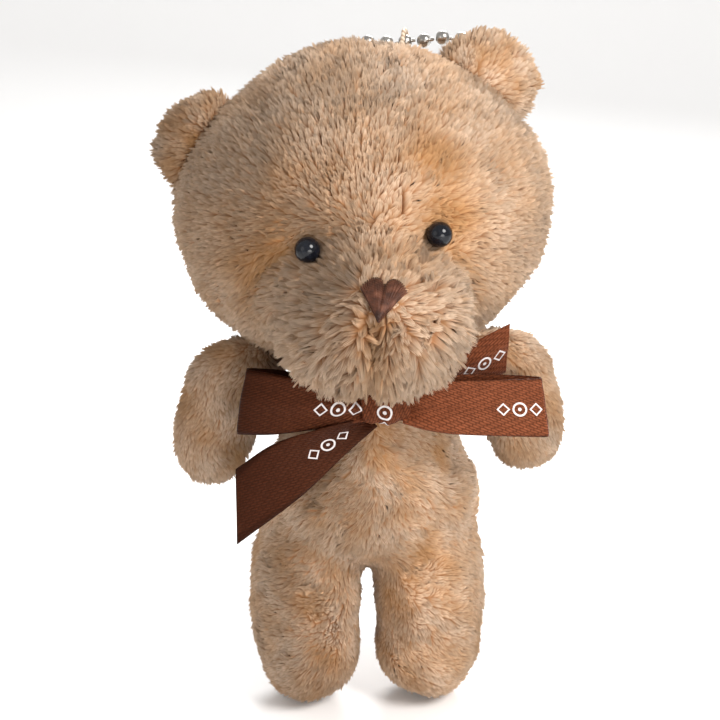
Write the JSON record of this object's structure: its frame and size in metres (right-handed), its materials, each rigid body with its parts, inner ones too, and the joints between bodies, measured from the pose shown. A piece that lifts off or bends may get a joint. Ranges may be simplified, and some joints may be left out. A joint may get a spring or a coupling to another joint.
{
  "type": "plush bear keychain",
  "caption": "Small stuffed bear with sewn plush covers, a satin ribbon bow at the neck and a steel ball chain on a hang loop at the crown.",
  "frame": {"origin": "centre of the base of the bounding box, on the plane that the soles stand on", "axes": "+Z from the soles up to the crown, -Y the way the bear faces, +X to the viewer's right when facing it"},
  "size_m": [0.0672, 0.0618, 0.1124],
  "materials": {
    "plush": "short-pile plush, warm beige, darker at the roots",
    "fibre_filling": "white polyester fibre filling, hidden",
    "satin_ribbon": "woven satin ribbon, dark chocolate brown, soft sheen",
    "thread": "satin-stitched embroidery thread, dark brown",
    "eye_plastic": "glossy black",
    "nylon": "translucent white nylon",
    "steel": "nickel-plated steel, slightly dulled"
  },
  "bodies": {
    "body": {"body_back_panel": "plush", "body_front_panel": "plush", "body_stuffing": "fibre_filling", "bow_knot": "satin_ribbon", "bow_loop_left": "satin_ribbon", "bow_loop_right": "satin_ribbon", "bow_tail_left": "satin_ribbon", "bow_tail_right": "satin_ribbon", "neck_ribbon": "satin_ribbon"},
    "head": {"ear_left_back": "plush", "ear_left_front": "plush", "ear_right_back": "plush", "ear_right_front": "plush", "eye_left": "eye_plastic", "eye_right": "eye_plastic", "eye_washer_left": "nylon", "eye_washer_right": "nylon", "hang_loop": "nylon", "head_back_panel": "plush", "head_gusset": "plush", "head_side_left": "plush", "head_side_right": "plush", "head_stuffing": "fibre_filling", "nose_embroidery": "thread"},
    "arm_left": {"arm_left_back": "plush", "arm_left_front": "plush", "arm_left_stuffing": "fibre_filling"},
    "arm_right": {"arm_right_back": "plush", "arm_right_front": "plush", "arm_right_stuffing": "fibre_filling"},
    "chain_00": {"chain_ball_00": "steel"},
    "chain_01": {"chain_ball_left_01": "steel", "chain_ball_right_01": "steel"},
    "chain_02": {"chain_ball_left_02": "steel", "chain_ball_right_02": "steel"},
    "chain_03": {"chain_ball_left_03": "steel", "chain_ball_right_03": "steel"},
    "chain_04": {"chain_ball_left_04": "steel", "chain_ball_right_04": "steel"},
    "chain_05": {"chain_ball_left_05": "steel", "chain_ball_right_05": "steel"},
    "chain_06": {"chain_ball_left_06": "steel", "chain_ball_right_06": "steel"},
    "chain_07": {"chain_ball_left_07": "steel", "chain_ball_right_07": "steel"},
    "chain_08": {"chain_ball_left_08": "steel", "chain_ball_right_08": "steel"},
    "chain_09": {"chain_ball_left_09": "steel", "chain_ball_right_09": "steel"},
    "chain_10": {"chain_ball_left_10": "steel", "chain_ball_right_10": "steel", "chain_connector": "steel"}
  },
  "joints": [
    {"name": "head_turn", "type": "hinge", "parent": "body", "child": "head", "pos_m": [0.0017, 0.00638, 0.061], "axis": [0, 0, 1], "range_deg": [-8, 8], "stiffness_Nm_per_rad": 0.0005},
    {"name": "arm_left_swing", "type": "hinge", "parent": "body", "child": "arm_left", "pos_m": [-0.0171, 0.00438, 0.0544], "axis": [-1, 0, 0], "range_deg": [-30, 45]},
    {"name": "arm_right_swing", "type": "hinge", "parent": "body", "child": "arm_right", "pos_m": [0.0188, 0.00438, 0.0558], "axis": [-1, 0, 0], "range_deg": [-30, 45]},
    {"name": "chain_swing", "type": "hinge", "parent": "head", "child": "chain_00", "pos_m": [0.0079, 0.01998, 0.11], "axis": [0.9598, -0.2733, 0.0645], "range_deg": [0, 150]},
    {"name": "chain_flex", "type": "hinge", "parent": "chain_00", "child": "chain_01", "pos_m": [0.0079, 0.01998, 0.11], "axis": [0.9598, -0.2733, 0.0645], "range_deg": [0, 12]},
    {"name": "chain_link_02", "type": "hinge", "parent": "chain_01", "child": "chain_02", "pos_m": [0.0078, 0.01972, 0.1103], "axis": [0.9598, -0.2733, 0.0645], "range_deg": [0, 12]},
    {"name": "chain_link_03", "type": "hinge", "parent": "chain_02", "child": "chain_03", "pos_m": [0.00794, 0.02009, 0.10987], "axis": [0.9598, -0.2733, 0.0645], "range_deg": [0, 12]},
    {"name": "chain_link_04", "type": "hinge", "parent": "chain_03", "child": "chain_04", "pos_m": [0.00837, 0.02129, 0.10848], "axis": [0.9598, -0.2733, 0.0645], "range_deg": [0, 12]},
    {"name": "chain_link_05", "type": "hinge", "parent": "chain_04", "child": "chain_05", "pos_m": [0.00905, 0.02316, 0.1063], "axis": [0.9598, -0.2733, 0.0645], "range_deg": [0, 12]},
    {"name": "chain_link_06", "type": "hinge", "parent": "chain_05", "child": "chain_06", "pos_m": [0.00978, 0.02517, 0.10397], "axis": [0.9598, -0.2733, 0.0645], "range_deg": [0, 12]},
    {"name": "chain_link_07", "type": "hinge", "parent": "chain_06", "child": "chain_07", "pos_m": [0.01035, 0.02673, 0.10216], "axis": [0.9598, -0.2733, 0.0645], "range_deg": [0, 12]},
    {"name": "chain_link_08", "type": "hinge", "parent": "chain_07", "child": "chain_08", "pos_m": [0.01065, 0.02757, 0.10118], "axis": [0.9598, -0.2733, 0.0645], "range_deg": [0, 12]},
    {"name": "chain_link_09", "type": "hinge", "parent": "chain_08", "child": "chain_09", "pos_m": [0.01074, 0.02781, 0.10091], "axis": [0.9598, -0.2733, 0.0645], "range_deg": [0, 12]},
    {"name": "chain_link_10", "type": "hinge", "parent": "chain_09", "child": "chain_10", "pos_m": [0.01074, 0.02781, 0.10091], "axis": [0.9598, -0.2733, 0.0645], "range_deg": [0, 12]}
  ],
  "couplings": [
    {"joint": "chain_link_02", "follows": "chain_flex", "ratio": 1},
    {"joint": "chain_link_03", "follows": "chain_flex", "ratio": 1},
    {"joint": "chain_link_04", "follows": "chain_flex", "ratio": 1},
    {"joint": "chain_link_05", "follows": "chain_flex", "ratio": 1},
    {"joint": "chain_link_06", "follows": "chain_flex", "ratio": 1},
    {"joint": "chain_link_07", "follows": "chain_flex", "ratio": 1},
    {"joint": "chain_link_08", "follows": "chain_flex", "ratio": 1},
    {"joint": "chain_link_09", "follows": "chain_flex", "ratio": 1},
    {"joint": "chain_link_10", "follows": "chain_flex", "ratio": 1}
  ]
}
